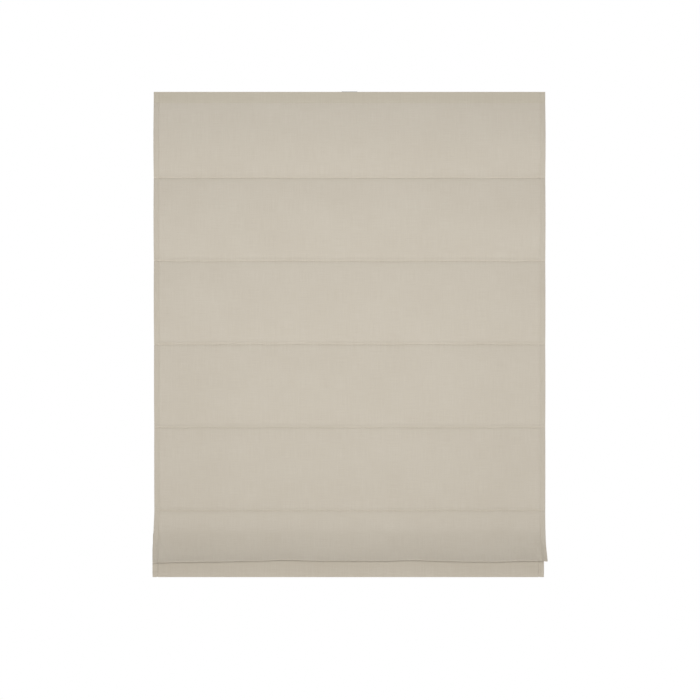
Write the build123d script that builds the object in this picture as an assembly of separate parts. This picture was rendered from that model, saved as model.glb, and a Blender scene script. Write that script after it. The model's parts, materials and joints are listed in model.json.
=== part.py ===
from build123d import *
import os
from math import asin, cos, degrees, radians, sin, sqrt

# A flat, unlined roman blind on a spring lift, lowered until only its last fold stands.
# The origin is on the wall, midway between the centre bracket's two screws.
# X runs to the right as seen from the room, Z runs up, and the blind's front faces -Y.

# Whole blind
BLIND_WIDTH = 1000.0
BLIND_DROP = 1240.0
FIT = 0.2
RUNNING_CLEARANCE = 0.08
SEAT_GAP = 0.05
CUT_OVERRUN = 2.0

# Headrail: an extruded channel, open below, with a hook along its back
RAIL_DEPTH = 26.0
RAIL_HEIGHT = 27.0
RAIL_WALL = 1.4
RAIL_CORNER = 1.0
RAIL_LIP = 3.0
RAIL_OFF_WALL = 5.0
RAIL_END_INSET = 2.0
HOOK_WALL = 1.2
HOOK_DROP = 5.2

# End caps: a plate over the section and a hollow plug pushed into it
CAP_PLATE = 3.0
CAP_PLUG_DEPTH = 8.0
CAP_PLUG_WALL = 2.0

# Wall brackets: bent spring strip, with two screw holes each
BRACKET_STRIP = 1.2
BRACKET_WIDTH = 40.0
BRACKET_BEND = 2.0
BRACKET_CREST_BEND = 1.0
BRACKET_JOG_ANGLE = 45.0
BRACKET_JOG_START = 3.0
BRACKET_EDGE_INSET = 200.0
BRACKET_FINGER = 33.0
BRACKET_TONGUE_GAP = 0.1
BRACKET_BEAD_GAP = 0.5
SCREW_HOLE_DIAMETER = 4.5
SCREW_SPACING = 20.0

# Hook tape on the rail and loop tape on the cloth
TAPE_THICKNESS = 1.3
TAPE_HEIGHT = 20.0
TAPE_TOP_DROP = 3.0
TAPE_END_GAP = 1.0

# Cloth: header, panels between stitched seams, side hems; each panel bows less than the one above
CLOTH_THICKNESS = 0.7
HEADER_DROP = 28.0
FIRST_SEAM_DROP = 220.0
LOWEST_SEAM_RISE = 170.0
HANGING_ROD_COUNT = 5
LOWEST_BELLY = 2.0
BELLY_STEP = 1.0
SIDE_HEM_WIDTH = 13.0

# Last fold: it swings out from the lowest seam, turns under at the lip and returns to the last rod
FOLD_LENGTH = 204.4
FOLD_SWING_RADIUS = 270.0
FOLD_SWING_ANGLE = 25.0
FOLD_SLOPE = 5.0
LIP_RADIUS = 5.0
STEEPEST_RETURN_LEAN = 60.0
LEAN_HALVINGS = 30
CREST_RADIUS = 1.0
CREST_SETBACK = 3.2
LAST_ROD_GAP = 0.3

# Bottom hem: a pocket round the weight bar, sewn to the back of the last panel
BAR_HEIGHT = 22.0
BAR_THICKNESS = 4.0
BAR_CAP_LENGTH = 4.0
BAR_POCKET_GAP = 0.3
POCKET_ROOM = 3.0
POCKET_CLOSE_ANGLE = 40.0
HEM_STITCH_BAND = 8.0
SEWN_BITE = 0.3

# Rods in sewn sleeves, whose tape is wider at the cloth than at its back
ROD_DIAMETER = 4.0
ROD_END_INSET = 4.0
SLEEVE_WALL = 0.8
SLEEVE_EASE = 0.1
SLEEVE_SPREAD_ANGLE = 20.0
SLEEVE_NOTCH = 10.0

# Clips: a saddle on the bare rod, with an eye behind it that guides the lift cord
CLIP_WIDTH = 6.0
CLIP_WALL = 0.6
CLIP_JAW = 1.2
CLIP_TAB = 2.4
CLIP_EYE = 2.0
CLIP_EYE_WALL = 1.0

# Lift cords
CORD_DIAMETER = 1.2
CORD_EDGE_INSET = 128.0
CORD_DRUM_GAP = 0.1
CORD_STOP_LAP = 0.3
CORD_STOP_LENGTH = 4.0

# Drive shaft, cord drums and their cradles
SHAFT_SIDE = 5.0
SHAFT_END_GAP = 17.0
SHAFT_EASE = 0.05
DRUM_DIAMETER = 15.6
DRUM_LENGTH = 35.0
JOURNAL_DIAMETER = 8.8
JOURNAL_OVERHANG = 1.5
CRADLE_WALL = 2.5
CRADLE_BASE = 1.5
CRADLE_WALL_RISE = 8.0
CORD_PORT_WIDTH = 2.4
CORD_PORT_LENGTH = 6.0

# Spring unit, to the right of the middle
SPRING_UNIT_LENGTH = 36.0
SPRING_CAVITY_DIAMETER = 20.0
SPRING_END_WALL = 2.0
SPRING_COVER = 2.0
SPRING_BAND_WIDTH = 30.0

# Friction brake, to the left of the middle
BRAKE_LENGTH = 20.0
BRAKE_CAVITY_DIAMETER = 15.0
BRAKE_COIL_LENGTH = 14.0

# Places worked out from the sizes above
DOWN = (0, -1)
UP = (0, 1)
TOP = RAIL_HEIGHT / 2
RAIL_BACK = -RAIL_OFF_WALL
RAIL_FRONT = RAIL_BACK - RAIL_DEPTH
RAIL_LENGTH = BLIND_WIDTH - 2 * (RAIL_END_INSET + CAP_PLATE)
BRACKET_SPACING = BLIND_WIDTH / 2 - BRACKET_EDGE_INSET
AXIS_Y = (RAIL_BACK + RAIL_FRONT) / 2
INNER_BACK = RAIL_BACK - RAIL_WALL
INNER_FRONT = RAIL_FRONT + RAIL_WALL
INNER_TOP = TOP - RAIL_WALL
INNER_FLOOR = RAIL_WALL - TOP
CLOTH_BACK = RAIL_FRONT - 2 * TAPE_THICKNESS
CLOTH_FRONT = CLOTH_BACK - CLOTH_THICKNESS
CLOTH_START = (CLOTH_FRONT, TOP)
HEM_INNER_X = BLIND_WIDTH / 2 - SIDE_HEM_WIDTH
SEAM_PITCH = (BLIND_DROP - FIRST_SEAM_DROP - LOWEST_SEAM_RISE) / (HANGING_ROD_COUNT - 1)
SEAM_Z = [TOP - FIRST_SEAM_DROP - SEAM_PITCH * index for index in range(HANGING_ROD_COUNT)]
CORD_SPACING = BLIND_WIDTH / 2 - CORD_EDGE_INSET
CORD_PLACES = [-CORD_SPACING, 0, CORD_SPACING]
CORD_Y = AXIS_Y - DRUM_DIAMETER / 2 - CORD_DRUM_GAP - CORD_DIAMETER / 2
SLEEVE_RADIUS = ROD_DIAMETER / 2 + SLEEVE_EASE + SLEEVE_WALL
SLEEVE_END_X = HEM_INNER_X - TAPE_END_GAP
ROD_Y = CLOTH_BACK + SLEEVE_RADIUS + SEAT_GAP
SHAFT_LENGTH = RAIL_LENGTH - 2 * (CAP_PLUG_DEPTH + SHAFT_END_GAP)
CRADLE_LENGTH = DRUM_LENGTH + 2 * (FIT + CRADLE_WALL)
DRUM_SPAN = CRADLE_LENGTH + 2 * JOURNAL_OVERHANG
SPRING_UNIT_X = CORD_SPACING / 2
BRAKE_X = -CORD_SPACING / 2


def walk(start, heading, steps, offset):
    """Edges of a line that runs straight, turns or bellies out, offset to its left."""
    way = Vector(*heading)
    point = Vector(*start) + way.rotate(Axis.Z, 90) * offset
    edges = []
    for kind, length, amount in steps:
        if kind == "run":
            edge = Line(point, point + way * length)
        elif kind == "belly":
            middle = point + way * (length / 2) - way.rotate(Axis.Z, 90) * amount
            edge = ThreePointArc(point, middle, point + way * length)
        else:
            radius = length - offset if amount > 0 else length + offset
            edge = JernArc(point, way, radius, amount)
            way = way.rotate(Axis.Z, amount)
        point = edge @ 1
        edges.append(edge)
    return edges


def strip(start, heading, steps, thickness):
    """The section of a bent strip, thickened to the left of its line."""
    near = walk(start, heading, steps, 0)
    far = walk(start, heading, steps, thickness)
    ends = [Line(near[0] @ 0, far[0] @ 0), Line(near[-1] @ 1, far[-1] @ 1)]
    return make_face(near + far + ends)


def block(front, back, low, high, corner=0):
    """A rectangle of the section, between two depths and two heights."""
    middle = Pos((front + back) / 2, (low + high) / 2)
    if corner:
        return middle * RectangleRounded(back - front, high - low, corner)
    return middle * Rectangle(back - front, high - low)


def disc(diameter, depth=AXIS_Y, height=0):
    """A circle of the section, about the drive shaft unless placed elsewhere."""
    return Pos(depth, height) * Circle(diameter / 2)


def along_x(section, middle, length):
    """A section of the blind drawn out along its width."""
    return Pos(middle, 0, 0) * extrude(Plane.YZ * section, amount=length / 2, both=True)


def save(name, solid):
    export_step(solid, f"parts/{name}.step")


def headrail():
    shell = block(RAIL_FRONT, RAIL_BACK, -TOP, TOP, RAIL_CORNER)
    hollow = block(INNER_FRONT, INNER_BACK, INNER_FLOOR, INNER_TOP)
    mouth = block(RAIL_FRONT + RAIL_LIP, RAIL_BACK - RAIL_LIP, -TOP - CUT_OVERRUN, INNER_FLOOR)
    hook_back = RAIL_BACK + BRACKET_TONGUE_GAP + BRACKET_STRIP + FIT + HOOK_WALL
    ledge = block(RAIL_BACK - RAIL_WALL, hook_back, TOP - HOOK_WALL, TOP)
    leg = block(hook_back - HOOK_WALL, hook_back, TOP - HOOK_DROP, TOP)
    return along_x(shell - hollow - mouth + ledge + leg, 0, RAIL_LENGTH)


def end_cap(side):
    """A cap for one end of the headrail: side is -1 on the left, 1 on the right."""
    plate = block(RAIL_FRONT, RAIL_BACK, -TOP, TOP, RAIL_CORNER)
    plug = block(INNER_FRONT + FIT, INNER_BACK - FIT, INNER_FLOOR + FIT, INNER_TOP - FIT)
    wall = FIT + CAP_PLUG_WALL
    core = block(INNER_FRONT + wall, INNER_BACK - wall, INNER_FLOOR + wall, INNER_TOP - wall)
    end = side * RAIL_LENGTH / 2
    cap = along_x(plate, end + side * CAP_PLATE / 2, CAP_PLATE)
    return cap + along_x(plug - core, end - side * CAP_PLUG_DEPTH / 2, CAP_PLUG_DEPTH)


def bracket_foot():
    """Steps from the snap bead under the rail's back lip to the strip that lies on the wall."""
    bead_rise = RAIL_WALL + BRACKET_STRIP
    reach = RAIL_OFF_WALL + RAIL_LIP + BRACKET_BEAD_GAP + BRACKET_STRIP
    start = (-reach, INNER_FLOOR - FIT)
    steps = [("run", bead_rise - BRACKET_BEND, 0), ("turn", BRACKET_BEND, 90)]
    steps += [("run", reach - 2 * BRACKET_BEND, 0), ("turn", BRACKET_BEND, 90)]
    return start, steps, start[1] - bead_rise + BRACKET_BEND


def bracket_holes(solid, middle):
    for place in (middle - SCREW_SPACING / 2, middle + SCREW_SPACING / 2):
        drill = Cylinder(SCREW_HOLE_DIAMETER / 2, 2 * RAIL_OFF_WALL)
        solid -= Pos(place, 0, 0) * Rot(90, 0, 0) * drill
    return solid


def end_bracket(middle):
    """The rail hangs by its hook on this bracket's tongue and snaps over the bead below."""
    start, steps, level = bracket_foot()
    turned = 1 - cos(radians(BRACKET_JOG_ANGLE))
    rise = sin(radians(BRACKET_JOG_ANGLE))
    bends = BRACKET_BEND + BRACKET_CREST_BEND
    jog = RAIL_OFF_WALL - BRACKET_TONGUE_GAP - BRACKET_STRIP
    slope = (jog - bends * turned) / rise
    tongue_start = BRACKET_JOG_START + bends * rise + slope * cos(radians(BRACKET_JOG_ANGLE))
    steps += [("run", BRACKET_JOG_START - level, 0), ("turn", BRACKET_BEND, BRACKET_JOG_ANGLE)]
    steps += [("run", slope, 0), ("turn", BRACKET_CREST_BEND, -BRACKET_JOG_ANGLE)]
    steps += [("run", TOP - HOOK_WALL - tongue_start, 0)]
    return bracket_holes(along_x(strip(start, DOWN, steps, BRACKET_STRIP), middle, BRACKET_WIDTH), middle)


def centre_bracket():
    """Its finger reaches over the rail's top and keeps the rail from lifting off the other two."""
    start, steps, level = bracket_foot()
    finger_top = TOP + BRACKET_TONGUE_GAP + BRACKET_STRIP
    steps += [("run", finger_top - BRACKET_BEND - level, 0), ("turn", BRACKET_BEND, 90)]
    steps += [("run", BRACKET_FINGER - BRACKET_BEND, 0)]
    return bracket_holes(along_x(strip(start, DOWN, steps, BRACKET_STRIP), 0, BRACKET_WIDTH), 0)


def tape(front):
    """A strip of touch tape, with its front face at the given depth."""
    top = TOP - TAPE_TOP_DROP
    section = block(front, front + TAPE_THICKNESS, top - TAPE_HEIGHT, top)
    return along_x(section, 0, 2 * (HEM_INNER_X - TAPE_END_GAP))


def fold_steps(lean):
    """Steps of the last fold, from the lowest seam to the end of its crest."""
    lip_turn = FOLD_SWING_ANGLE + 180 - lean
    swing = radians(FOLD_SWING_ANGLE) * FOLD_SWING_RADIUS
    rise = FOLD_LENGTH - swing - FOLD_SLOPE - radians(lip_turn) * LIP_RADIUS
    steps = [("turn", FOLD_SWING_RADIUS, -FOLD_SWING_ANGLE), ("run", FOLD_SLOPE, 0)]
    steps += [("turn", LIP_RADIUS, lip_turn), ("run", rise, 0)]
    return steps + [("turn", CREST_RADIUS, lean - 180)]


def crest_end(lean):
    return walk((CLOTH_FRONT, SEAM_Z[-1]), DOWN, fold_steps(lean), 0)[-1] @ 1


def return_lean():
    """How far the fold's return leans for its crest to come under the rods, found by halving."""
    upright = 0
    steep = STEEPEST_RETURN_LEAN
    for _ in range(LEAN_HALVINGS):
        lean = (upright + steep) / 2
        if crest_end(lean).X < ROD_Y - CREST_SETBACK + CREST_RADIUS:
            upright = lean
        else:
            steep = lean
    return lean


RETURN_LEAN = return_lean()
CREST_END = crest_end(RETURN_LEAN)
CREST_REACH = CREST_RADIUS + CLOTH_THICKNESS + SLEEVE_RADIUS + LAST_ROD_GAP
ROD_Z = SEAM_Z + [CREST_END.Y + sqrt(CREST_REACH**2 - CREST_SETBACK**2)]
POCKET_RADIUS = BAR_THICKNESS / 2 + BAR_POCKET_GAP + CLOTH_THICKNESS
BAR_FOOT_Z = TOP - BLIND_DROP + POCKET_RADIUS
BAR_Y = CREST_END.X + POCKET_RADIUS
BAR_END_X = HEM_INNER_X - TAPE_END_GAP - BAR_CAP_LENGTH


def cloth_steps():
    """Steps of the cloth's front face, from its top edge to the turn round the weight bar."""
    steps = [("run", HEADER_DROP, 0)]
    for panel in range(HANGING_ROD_COUNT):
        drop = SEAM_PITCH if panel else FIRST_SEAM_DROP - HEADER_DROP
        steps.append(("belly", drop, LOWEST_BELLY + BELLY_STEP * (HANGING_ROD_COUNT - 1 - panel)))
    steps += fold_steps(RETURN_LEAN)
    return steps + [("run", CREST_END.Y - BAR_FOOT_Z, 0), ("turn", POCKET_RADIUS, 180)]


def blind_cloth():
    """One length of cloth: panels, fold, last panel and the hem that is sewn up behind it."""
    steps = cloth_steps()
    body = along_x(strip(CLOTH_START, DOWN, steps, CLOTH_THICKNESS), 0, BLIND_WIDTH)
    for side in (-1, 1):
        middle = side * (BLIND_WIDTH - SIDE_HEM_WIDTH) / 2
        body += along_x(strip(CLOTH_START, DOWN, steps, 2 * CLOTH_THICKNESS), middle, SIDE_HEM_WIDTH)
    shift = BAR_THICKNESS + 2 * BAR_POCKET_GAP + SEWN_BITE
    bend = shift / (2 - 2 * cos(radians(POCKET_CLOSE_ANGLE)))
    rear = (BAR_Y + POCKET_RADIUS, BAR_FOOT_Z)
    close = [("run", BAR_HEIGHT + POCKET_ROOM, 0), ("turn", bend, POCKET_CLOSE_ANGLE)]
    close += [("turn", bend, -POCKET_CLOSE_ANGLE), ("run", HEM_STITCH_BAND, 0)]
    return body + along_x(strip(rear, UP, close, CLOTH_THICKNESS), 0, BLIND_WIDTH)


def rod(height):
    return along_x(disc(ROD_DIAMETER, ROD_Y, height), 0, 2 * (SLEEVE_END_X - ROD_END_INSET))


def sleeve_outline(reach):
    """A sleeve pressed flat on the cloth: four faces, each the same reach from the rod's middle."""
    spread = radians(SLEEVE_SPREAD_ANGLE)
    return Trapezoid(2 * reach * (1 + sin(spread)) / cos(spread), 2 * reach, 90 - SLEEVE_SPREAD_ANGLE)


def rod_sleeve(height):
    """The sewn sleeve, left open where the clips sit on the bare rod."""
    turn = -90 if height in SEAM_Z else -degrees(asin(CREST_SETBACK / CREST_REACH))
    wall = sleeve_outline(SLEEVE_RADIUS) - sleeve_outline(SLEEVE_RADIUS - SLEEVE_WALL)
    wall = Pos(ROD_Y, height) * Rot(0, 0, turn) * wall
    edges = [-SLEEVE_END_X]
    for place in CORD_PLACES:
        edges += [place - SLEEVE_NOTCH / 2, place + SLEEVE_NOTCH / 2]
    edges += [SLEEVE_END_X]
    spans = zip(edges[::2], edges[1::2])
    return Compound([along_x(wall, (low + high) / 2, high - low) for low, high in spans])


def cord_clips(height):
    seat = ROD_DIAMETER / 2 + SEAT_GAP
    grip = seat + CLIP_WALL
    tab_back = CORD_Y + CLIP_EYE / 2 + CLIP_EYE_WALL
    section = block(ROD_Y - CLIP_JAW, ROD_Y + grip, height - grip, height + grip)
    section += block(ROD_Y, tab_back, height - CLIP_TAB / 2, height + CLIP_TAB / 2)
    section -= block(ROD_Y - CLIP_JAW - CUT_OVERRUN, ROD_Y + seat, height - seat, height + seat)
    eye = Box(CLIP_EYE, CLIP_EYE, CLIP_TAB + CUT_OVERRUN)
    clips = [along_x(section, place, CLIP_WIDTH) - Pos(place, CORD_Y, height) * eye for place in CORD_PLACES]
    return Compound(clips)


def bar_section():
    return block(BAR_Y - BAR_THICKNESS / 2, BAR_Y + BAR_THICKNESS / 2, BAR_FOOT_Z, BAR_FOOT_Z + BAR_HEIGHT)


def bottom_bar_caps():
    places = [side * (BAR_END_X + BAR_CAP_LENGTH / 2) for side in (-1, 1)]
    return Compound([along_x(bar_section(), place, BAR_CAP_LENGTH) for place in places])


def lift_cord(place):
    """From the drum's front, down through the eyes of the clips, to the stop under the last one."""
    low = ROD_Z[-1] - CLIP_TAB / 2 - SEAT_GAP
    cord = Pos(place, CORD_Y, low / 2) * Cylinder(CORD_DIAMETER / 2, -low)
    width = CLIP_EYE + 2 * CORD_STOP_LAP
    stop = Box(width, width, CORD_STOP_LENGTH)
    return cord + Pos(place, CORD_Y, low - CORD_STOP_LENGTH / 2) * stop


SHAFT_SECTION = Pos(AXIS_Y, 0) * Rectangle(SHAFT_SIDE, SHAFT_SIDE)
SHAFT_BORE = Pos(AXIS_Y, 0) * Rectangle(SHAFT_SIDE + 2 * SHAFT_EASE, SHAFT_SIDE + 2 * SHAFT_EASE)
JOURNAL_BORE = JOURNAL_DIAMETER + 2 * RUNNING_CLEARANCE


def spindle(middle, length):
    """A sleeve that turns with the square shaft."""
    return along_x(disc(JOURNAL_DIAMETER) - SHAFT_BORE, middle, length)


def cord_drum(place):
    drum = along_x(disc(DRUM_DIAMETER) - SHAFT_BORE, place, DRUM_LENGTH)
    return drum + spindle(place, DRUM_SPAN)


def drum_cradle(place):
    """It sits on the rail's lips; the drum drops into its two end walls, which keep the cord on."""
    front = INNER_FRONT + FIT
    back = INNER_BACK - FIT
    floor = block(front, back, INNER_FLOOR, INNER_FLOOR + CRADLE_BASE)
    mouth = block(AXIS_Y - JOURNAL_BORE / 2, AXIS_Y + JOURNAL_BORE / 2, 0, CRADLE_WALL_RISE + CUT_OVERRUN)
    wall = block(front, back, INNER_FLOOR, CRADLE_WALL_RISE) - mouth - disc(JOURNAL_BORE)
    cradle = along_x(floor, place, CRADLE_LENGTH)
    for side in (-1, 1):
        cradle += along_x(wall, place + side * (CRADLE_LENGTH - CRADLE_WALL) / 2, CRADLE_WALL)
    port = Box(CORD_PORT_LENGTH, CORD_PORT_WIDTH, 2 * CRADLE_BASE + CUT_OVERRUN)
    return cradle - Pos(place, CORD_Y, INNER_FLOOR) * port


UNIT_SECTION = block(INNER_FRONT + FIT, INNER_BACK - FIT, INNER_FLOOR, INNER_TOP - FIT)


def spring_barrel():
    """A moulded block that fills the rail, bored for the spring and open to the right."""
    barrel = along_x(UNIT_SECTION - disc(JOURNAL_BORE), SPRING_UNIT_X, SPRING_UNIT_LENGTH)
    return barrel - along_x(disc(SPRING_CAVITY_DIAMETER), SPRING_UNIT_X + SPRING_END_WALL, SPRING_UNIT_LENGTH)


def barrel_cover():
    section = UNIT_SECTION - disc(JOURNAL_BORE)
    return along_x(section, SPRING_UNIT_X + (SPRING_UNIT_LENGTH + SPRING_COVER) / 2, SPRING_COVER)


def power_spring():
    """The wound spring band, as the ring that its turns fill."""
    ring = disc(SPRING_CAVITY_DIAMETER - 2 * FIT) - disc(JOURNAL_DIAMETER + 2 * FIT)
    return along_x(ring, SPRING_UNIT_X + SPRING_END_WALL / 2, SPRING_BAND_WIDTH)


def brake_spring():
    """The coil that grips the brake's hub, as the tube that its turns fill."""
    tube = disc(BRAKE_CAVITY_DIAMETER - 2 * FIT) - disc(JOURNAL_BORE)
    return along_x(tube, BRAKE_X, BRAKE_COIL_LENGTH)


os.makedirs("parts", exist_ok=True)

# Headrail, its ends and what holds it to the wall
save("headrail", headrail())
save("end_cap_left", end_cap(-1))
save("end_cap_right", end_cap(1))
save("bracket_left", end_bracket(-BRACKET_SPACING))
save("bracket_right", end_bracket(BRACKET_SPACING))
save("bracket_centre", centre_bracket())

# Cloth and the touch tape that carries it
save("hook_tape", tape(RAIL_FRONT - TAPE_THICKNESS))
save("loop_tape", tape(CLOTH_BACK))
save("blind_cloth", blind_cloth())

# Lift works inside the headrail
save("drive_shaft", along_x(SHAFT_SECTION, 0, SHAFT_LENGTH))
for number, place in enumerate(CORD_PLACES, 1):
    save(f"drum_cradle_{number}", drum_cradle(place))
    save(f"cord_drum_{number}", cord_drum(place))
    save(f"lift_cord_{number}", lift_cord(place))
save("spring_barrel", spring_barrel())
save("barrel_cover", barrel_cover())
save("power_spring", power_spring())
arbor_length = SPRING_UNIT_LENGTH + SPRING_COVER + 2 * JOURNAL_OVERHANG
save("spring_arbor", spindle(SPRING_UNIT_X + SPRING_COVER / 2, arbor_length))
save("brake_housing", along_x(UNIT_SECTION - disc(BRAKE_CAVITY_DIAMETER), BRAKE_X, BRAKE_LENGTH))
save("brake_spring", brake_spring())
save("brake_hub", spindle(BRAKE_X, BRAKE_LENGTH + 2 * JOURNAL_OVERHANG))

# Rods on the back of the cloth, and the weight bar in the bottom hem
for number, height in enumerate(ROD_Z, 1):
    save(f"rod_{number}", rod(height))
    save(f"rod_sleeve_{number}", rod_sleeve(height))
    save(f"cord_clips_{number}", cord_clips(height))
save("bottom_bar", along_x(bar_section(), 0, 2 * BAR_END_X))
save("bottom_bar_caps", bottom_bar_caps())
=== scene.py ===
import json
from math import cos, pi, radians, sin

import bpy
import numpy as np
from bpy.props import FloatProperty, FloatVectorProperty, IntProperty, PointerProperty
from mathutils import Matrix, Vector


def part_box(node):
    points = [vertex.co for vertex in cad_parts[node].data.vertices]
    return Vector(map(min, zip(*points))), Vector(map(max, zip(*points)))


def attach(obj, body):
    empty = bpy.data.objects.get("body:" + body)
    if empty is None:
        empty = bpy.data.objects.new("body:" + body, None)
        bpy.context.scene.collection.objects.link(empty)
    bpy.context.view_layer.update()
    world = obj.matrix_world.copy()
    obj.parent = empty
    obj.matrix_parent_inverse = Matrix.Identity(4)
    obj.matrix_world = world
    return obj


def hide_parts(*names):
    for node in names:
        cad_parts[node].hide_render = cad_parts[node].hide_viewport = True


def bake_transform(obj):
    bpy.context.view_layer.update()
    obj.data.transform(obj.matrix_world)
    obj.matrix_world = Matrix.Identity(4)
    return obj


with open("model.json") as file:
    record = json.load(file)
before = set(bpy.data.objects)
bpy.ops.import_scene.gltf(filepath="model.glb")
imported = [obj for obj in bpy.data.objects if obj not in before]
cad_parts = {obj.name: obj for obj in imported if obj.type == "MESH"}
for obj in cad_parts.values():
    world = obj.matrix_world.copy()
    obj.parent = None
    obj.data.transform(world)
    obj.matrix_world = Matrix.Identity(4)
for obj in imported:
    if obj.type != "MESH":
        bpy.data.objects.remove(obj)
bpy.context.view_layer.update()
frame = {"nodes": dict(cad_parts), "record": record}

bl_info = {
    "name": "Roman blind",
    "version": (1, 0, 0),
    "blender": (4, 5, 0),
    "location": "3D View > Sidebar > Blind",
    "description": "Linen cloth, stitching, sleeves, cords and finishes of a roman blind",
    "category": "Object",
}

MM = 0.001
SHARP_ANGLE = radians(55)


def middle(node):
    low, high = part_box(node)
    return (low + high) / 2


# Places read from the frame, in metres: X to the right, Y into the wall, Z up
HALF_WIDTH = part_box("blind_cloth")[1].x
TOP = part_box("blind_cloth")[1].z
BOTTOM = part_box("blind_cloth")[0].z
CLOTH_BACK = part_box("loop_tape")[0].y
HANGING_RODS = 5
LAST_ROD = HANGING_RODS + 1
RODS = [middle(f"rod_{number}") for number in range(1, LAST_ROD + 1)]
SEAM_HEIGHTS = [rod.z for rod in RODS[:HANGING_RODS]]
ROD_RADIUS = (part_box("rod_1")[1].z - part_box("rod_1")[0].z) / 2
ROD_BODIES = [f"rod_{number}" for number in range(1, LAST_ROD)] + ["bottom"]
BODY_CHAIN = ["headrail"] + ROD_BODIES
CORD_NODES = ["lift_cord_1", "lift_cord_2", "lift_cord_3"]
CORD_X = [middle(node).x for node in CORD_NODES]
CORD_Y = middle("lift_cord_1").y
BAR_LOW, BAR_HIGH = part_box("bottom_bar")


def linear(hex_colour):
    """An sRGB hex colour as linear red, green and blue."""
    channels = [int(hex_colour[start:start + 2], 16) / 255 for start in (1, 3, 5)]
    return tuple(c / 12.92 if c <= 0.04045 else ((c + 0.055) / 1.055) ** 2.4 for c in channels)


def length(label, text, default):
    return FloatProperty(name=label, description=text, default=default, unit="LENGTH", precision=5)


def tilt(label, text, default):
    return FloatProperty(name=label, description=text, default=default, subtype="ANGLE")


def strength(label, text, default, unit="NONE"):
    return FloatProperty(name=label, description=text, default=default, unit=unit)


def colour(label, text, hex_colour):
    return FloatVectorProperty(
        name=label, description=text, default=linear(hex_colour), subtype="COLOR", size=3, min=0, max=1
    )


class ClothSizes(bpy.types.PropertyGroup):
    thickness: length("Cloth thickness", "Thickness of one layer of linen", 0.7 * MM)
    header_drop: length("Header", "Height of the header band sewn to the touch tape", 28 * MM)
    hem: length("Side hem", "Width of the turned side hems", 14 * MM)
    lowest_belly: length("Lowest belly", "How far the lowest flat panel bows forward", 2.0 * MM)
    belly_step: length("Belly step", "How much more each higher panel bows", 1.0 * MM)
    swing_radius: length("Swing radius", "Radius of the last fold as it leaves the lowest seam", 300 * MM)
    swing_angle: tilt("Swing angle", "How far the last fold leans out", radians(18))
    flare_radius: length("Flare radius", "Radius of the last fold as it flares above its lip", 130 * MM)
    flare_angle: tilt("Flare angle", "How much further the last fold leans at its lip", radians(15))
    fold_length: length("Fold length", "Cloth in the last fold, from lowest seam to crest", 203.7 * MM)
    lip_radius: length("Lip radius", "Radius of the lip of the last fold", 1.5 * MM)
    crest_radius: length("Crest radius", "Radius over which the cloth turns down behind the fold", 1 * MM)
    pocket_gap: length("Pocket gap", "Room between the weight bar and its pocket", 0.3 * MM)
    pocket_room: length("Pocket room", "Height left above the weight bar in its pocket", 3 * MM)
    stitch_band: length("Stitch band", "Height of the hem where it is sewn to the last panel", 8 * MM)
    coarse: length("Coarse spacing", "Spacing of the mesh on plain cloth", 4 * MM)
    fine: length("Fine spacing", "Spacing of the mesh at seams, lip and crest", 0.6 * MM)


class UnevenSizes(bpy.types.PropertyGroup):
    pucker_depth: length("Pucker depth", "How deep a seam draws the cloth in", 0.62 * MM)
    pucker_width: length("Pucker width", "Half width of the groove along a seam", 1.5 * MM)
    pucker_length: length("Pucker length", "Length of the small gathers along a seam", 26 * MM)
    ridge_height: length("Ridge height", "Height of the soft ridge above a seam", 0.55 * MM)
    ridge_rise: length("Ridge rise", "How far above a seam its ridge lies", 4.5 * MM)
    seam_wander: length("Seam wander", "How far a sewn line strays from straight", 0.7 * MM)
    slack: length("Slack", "Depth of the long soft waves in the flat panels", 0.55 * MM)
    slack_length: length("Slack length", "Length of the long soft waves", 420 * MM)
    hem_groove: length("Hem groove", "Depth of the groove along the sewn edge of a side hem", 1.5 * MM)
    hem_dip: length("Hem dip", "How far the last fold dips beside its side hems", 1.6 * MM)
    hem_dip_reach: length("Hem dip reach", "How far the dip reaches in from the hem", 9 * MM)
    taper: length("Taper", "How far the left edge draws in towards the lowest seam", 1.5 * MM)
    lip_lean: length("Lip lean", "How far the lip leans to the right", 1.8 * MM)
    crest_lean: length("Crest lean", "How far the crest lies to the left", 1.5 * MM)
    bottom_lean: length("Bottom lean", "How far the last panel hangs to the left", 3.2 * MM)
    fold_ripple: length("Fold ripple", "Depth of the upright ripples in the last fold", 0.3 * MM)
    ripple_length: length("Ripple length", "Length of the upright ripples", 21 * MM)
    seed: IntProperty(name="Seed", description="Fixes the run of the uneven cloth", default=7)


class StitchSizes(bpy.types.PropertyGroup):
    pitch: length("Stitch pitch", "Distance from one stitch to the next", 3.6 * MM)
    span: length("Stitch length", "Length of the thread that shows in one stitch", 2.7 * MM)
    thread: length("Thread thickness", "Thickness of the sewing thread", 0.55 * MM)
    seed: IntProperty(name="Seed", description="Fixes the small differences between stitches", default=3)


class FittingSizes(bpy.types.PropertyGroup):
    cord: length("Cord thickness", "Thickness of the braided lift cord", 1.2 * MM)
    stop: length("Cord stop", "Width of the stop under the last clip", 2.6 * MM)
    stop_length: length("Stop length", "Length of the stop under the last clip", 4 * MM)
    tape: length("Sleeve tape", "Thickness of the tape of the rod sleeves", 0.5 * MM)
    flange: length("Sleeve flange", "Width of the sewn edge of a rod sleeve", 2.4 * MM)
    notch: length("Sleeve notch", "Gap in a sleeve where a clip sits on the rod", 10 * MM)
    last_turn: tilt("Last sleeve's turn", "Lean of the sleeve behind the last fold", radians(49.3))


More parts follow.
